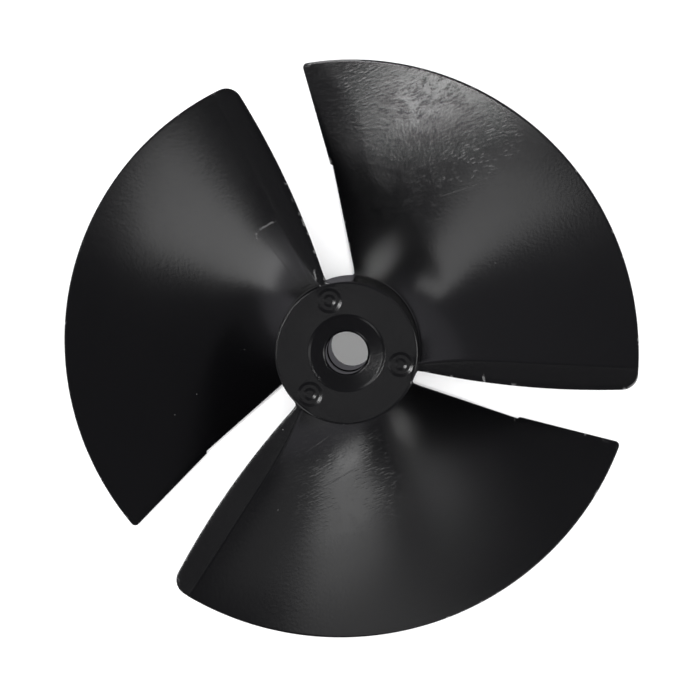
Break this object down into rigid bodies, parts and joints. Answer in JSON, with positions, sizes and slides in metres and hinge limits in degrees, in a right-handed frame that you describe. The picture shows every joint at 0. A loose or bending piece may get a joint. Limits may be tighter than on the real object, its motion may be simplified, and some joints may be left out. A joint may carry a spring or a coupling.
{
  "type": "pool cleaner impeller",
  "caption": "Black moulded plastic impeller with wide pitched blades round a short hub with a plain shaft bore.",
  "frame": {"origin": "centre of the hub's rear face, on the shaft axis", "axes": "+Z along the shaft axis from the rear face to the front face; +X to the right and +Y up in the front view"},
  "size_m": [0.1099, 0.11, 0.028],
  "materials": {
    "black_plastic": "satin black moulded plastic with a faint grain and light scuffs"
  },
  "bodies": {
    "root": {"impeller": "black_plastic"}
  },
  "joints": []
}
